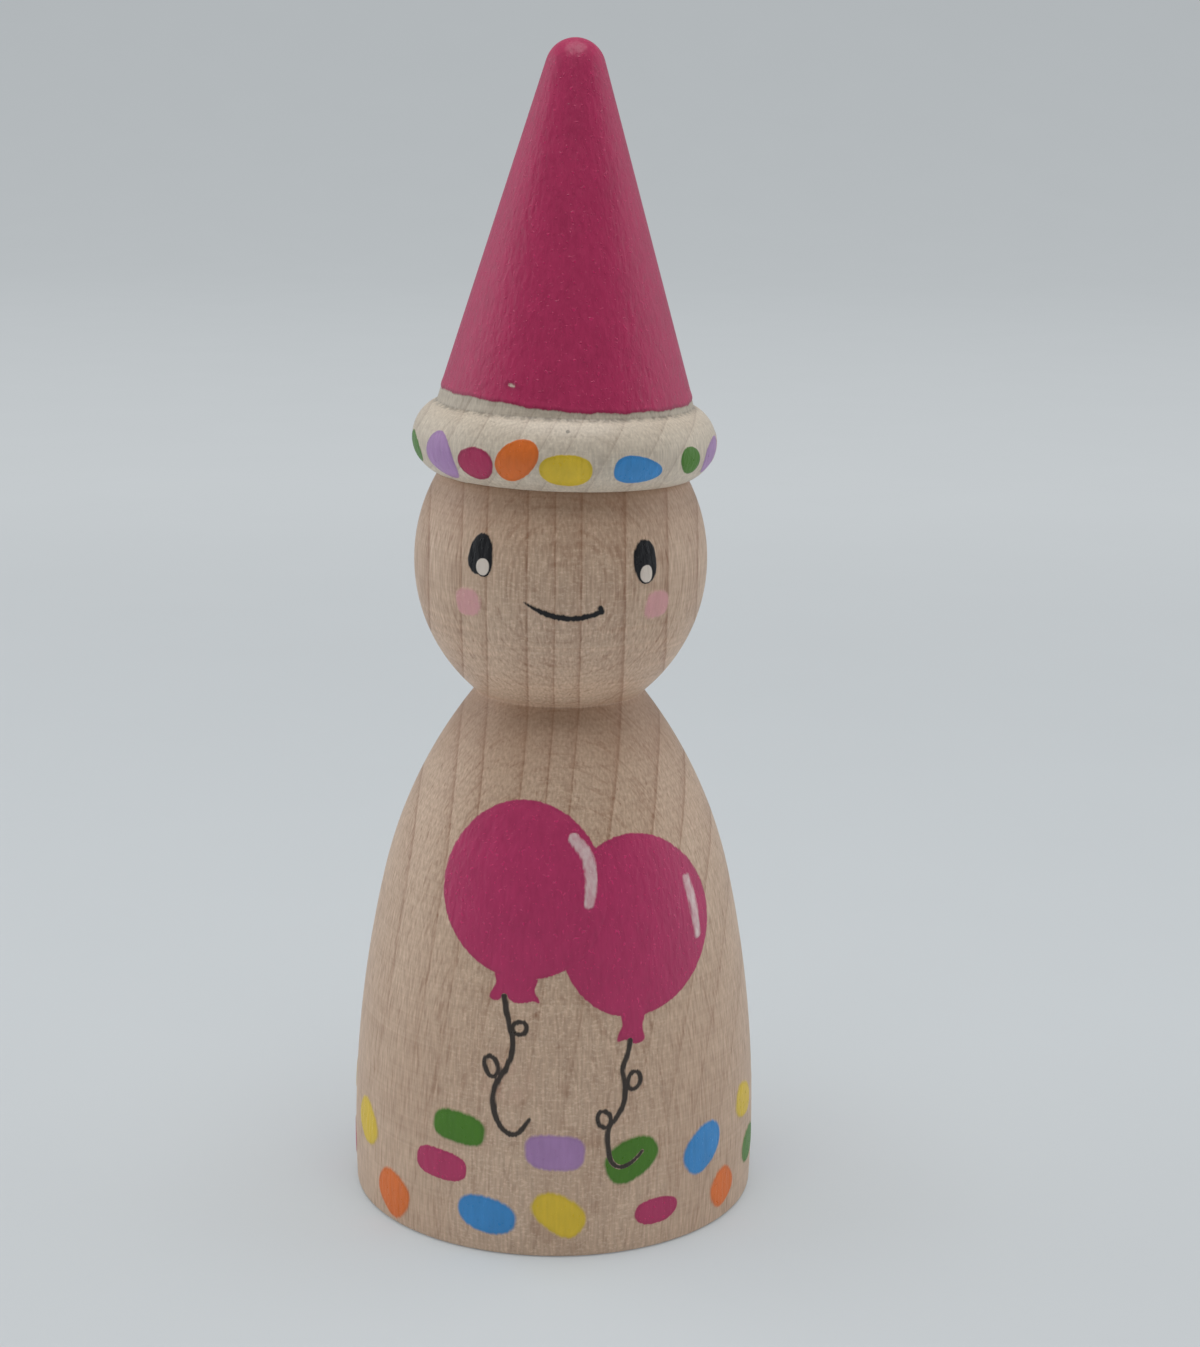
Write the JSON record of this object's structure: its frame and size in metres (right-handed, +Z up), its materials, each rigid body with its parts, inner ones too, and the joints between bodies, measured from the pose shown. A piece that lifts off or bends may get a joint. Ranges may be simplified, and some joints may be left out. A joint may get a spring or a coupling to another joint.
{
  "type": "peg doll",
  "caption": "Turned wooden peg doll with a round head and a separate pointed hat with a rolled brim, painted with a smiling face, balloons and confetti.",
  "frame": {"origin": "centre of the foot's flat face, on the surface that the doll stands on", "axes": "+Z up along the peg, -Y the way the doll faces, +X towards the doll's left hand"},
  "size_m": [0.0412, 0.0412, 0.1151],
  "materials": {
    "beech": "bare, sanded",
    "maple": "bare, sanded",
    "pink_paint": "acrylic paint, satin",
    "green_paint": "acrylic paint, satin",
    "lilac_paint": "acrylic paint, satin",
    "orange_paint": "acrylic paint, satin",
    "yellow_paint": "acrylic paint, satin",
    "blue_paint": "acrylic paint, satin",
    "black_paint": "acrylic paint, satin",
    "cheek_paint": "thin acrylic wash, matte",
    "white_paint": "acrylic paint, satin",
    "string_ink": "pen line, matte"
  },
  "bodies": {
    "peg": {"peg_body": "beech", "eye_right": "black_paint", "eye_left": "black_paint", "eye_glint_right": "white_paint", "eye_glint_left": "white_paint", "cheek_right": "cheek_paint", "cheek_left": "cheek_paint", "smile": "black_paint", "balloon_right": "pink_paint", "balloon_left": "pink_paint", "balloon_shine_right": "white_paint", "balloon_shine_left": "white_paint", "balloon_string_right": "string_ink", "balloon_string_left": "string_ink", "confetti_green": "green_paint", "confetti_lilac": "lilac_paint", "confetti_pink": "pink_paint", "confetti_orange": "orange_paint", "confetti_yellow": "yellow_paint", "confetti_blue": "blue_paint"},
    "hat": {"hat": "maple", "hat_cone_coat": "pink_paint", "brim_dots_green": "green_paint", "brim_dots_lilac": "lilac_paint", "brim_dots_pink": "pink_paint", "brim_dots_orange": "orange_paint", "brim_dots_yellow": "yellow_paint", "brim_dots_blue": "blue_paint"}
  },
  "joints": [
    {"name": "hat_lift", "type": "slide", "parent": "peg", "child": "hat", "axis": [0.0175, 0, 0.9998], "range_m": [0, 0.03]}
  ]
}
